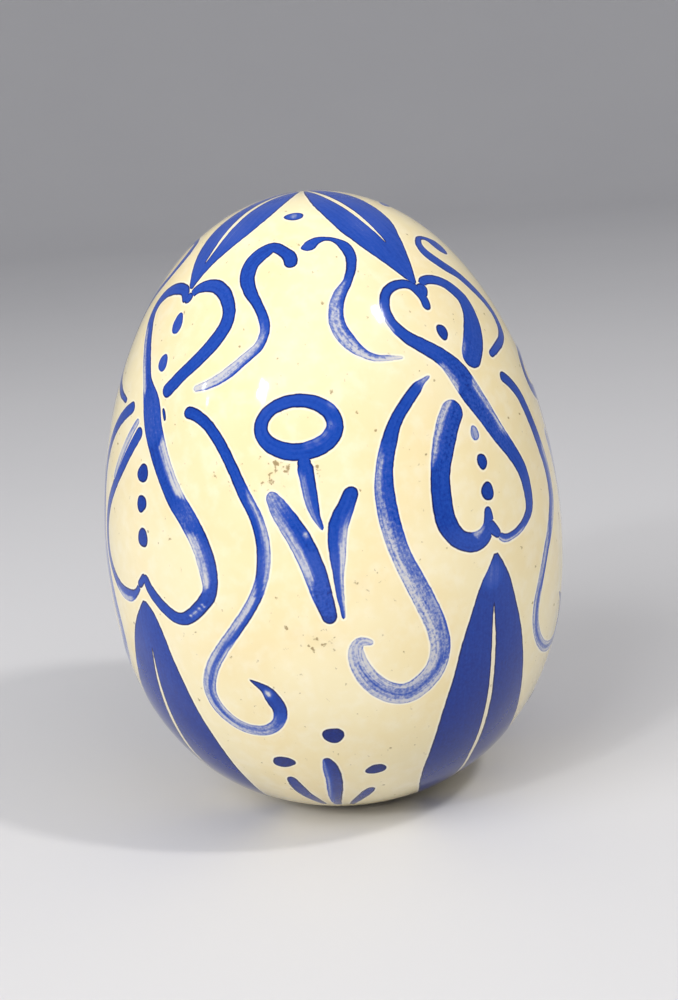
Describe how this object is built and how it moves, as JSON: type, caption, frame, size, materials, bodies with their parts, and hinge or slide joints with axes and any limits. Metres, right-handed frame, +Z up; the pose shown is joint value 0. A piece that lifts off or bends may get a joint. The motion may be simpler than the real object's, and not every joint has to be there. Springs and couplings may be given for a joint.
{
  "type": "hand-painted ceramic egg",
  "caption": "Hollow glazed ceramic egg on a small flat foot, cream with cobalt blue hearts, tulips, leaves and scrolls brushed around it.",
  "frame": {"origin": "middle of the flat foot, on the surface that the egg stands on", "axes": "+Z up along the egg's axis to the crown; -Y towards the front tulip panel; +X to the right seen from the front"},
  "size_m": [0.0757, 0.0758, 0.1001],
  "materials": {
    "clay": "unglazed fired earthenware, matte",
    "cream_glaze": "gloss",
    "cobalt_brushwork": "gloss, brushed from solid to thin wash"
  },
  "bodies": {
    "root": {"ceramic_shell": "clay", "glaze_coat": "cream_glaze", "front_tulip": "cobalt_brushwork", "front_upper_scroll_left": "cobalt_brushwork", "front_upper_scroll_right": "cobalt_brushwork", "front_long_scroll_left": "cobalt_brushwork", "front_long_scroll_right": "cobalt_brushwork", "front_sprout": "cobalt_brushwork", "front_dots": "cobalt_brushwork", "right_tulip": "cobalt_brushwork", "right_upper_scroll_left": "cobalt_brushwork", "right_upper_scroll_right": "cobalt_brushwork", "right_long_scroll_left": "cobalt_brushwork", "right_long_scroll_right": "cobalt_brushwork", "right_sprout": "cobalt_brushwork", "right_dots": "cobalt_brushwork", "back_tulip": "cobalt_brushwork", "back_upper_scroll_left": "cobalt_brushwork", "back_upper_scroll_right": "cobalt_brushwork", "back_long_scroll_left": "cobalt_brushwork", "back_long_scroll_right": "cobalt_brushwork", "back_sprout": "cobalt_brushwork", "back_dots": "cobalt_brushwork", "left_tulip": "cobalt_brushwork", "left_upper_scroll_left": "cobalt_brushwork", "left_upper_scroll_right": "cobalt_brushwork", "left_long_scroll_left": "cobalt_brushwork", "left_long_scroll_right": "cobalt_brushwork", "left_sprout": "cobalt_brushwork", "left_dots": "cobalt_brushwork", "front_right_top_leaf": "cobalt_brushwork", "front_right_upper_heart_lobe": "cobalt_brushwork", "front_right_heart_cross_stroke": "cobalt_brushwork", "front_right_lower_heart_lobe": "cobalt_brushwork", "front_right_bottom_leaf": "cobalt_brushwork", "front_right_heart_dots": "cobalt_brushwork", "back_right_top_leaf": "cobalt_brushwork", "back_right_upper_heart_lobe": "cobalt_brushwork", "back_right_heart_cross_stroke": "cobalt_brushwork", "back_right_lower_heart_lobe": "cobalt_brushwork", "back_right_bottom_leaf": "cobalt_brushwork", "back_right_heart_dots": "cobalt_brushwork", "back_left_top_leaf": "cobalt_brushwork", "back_left_upper_heart_lobe": "cobalt_brushwork", "back_left_heart_cross_stroke": "cobalt_brushwork", "back_left_lower_heart_lobe": "cobalt_brushwork", "back_left_bottom_leaf": "cobalt_brushwork", "back_left_heart_dots": "cobalt_brushwork", "front_left_top_leaf": "cobalt_brushwork", "front_left_upper_heart_lobe": "cobalt_brushwork", "front_left_heart_cross_stroke": "cobalt_brushwork", "front_left_lower_heart_lobe": "cobalt_brushwork", "front_left_bottom_leaf": "cobalt_brushwork", "front_left_heart_dots": "cobalt_brushwork"}
  },
  "joints": []
}
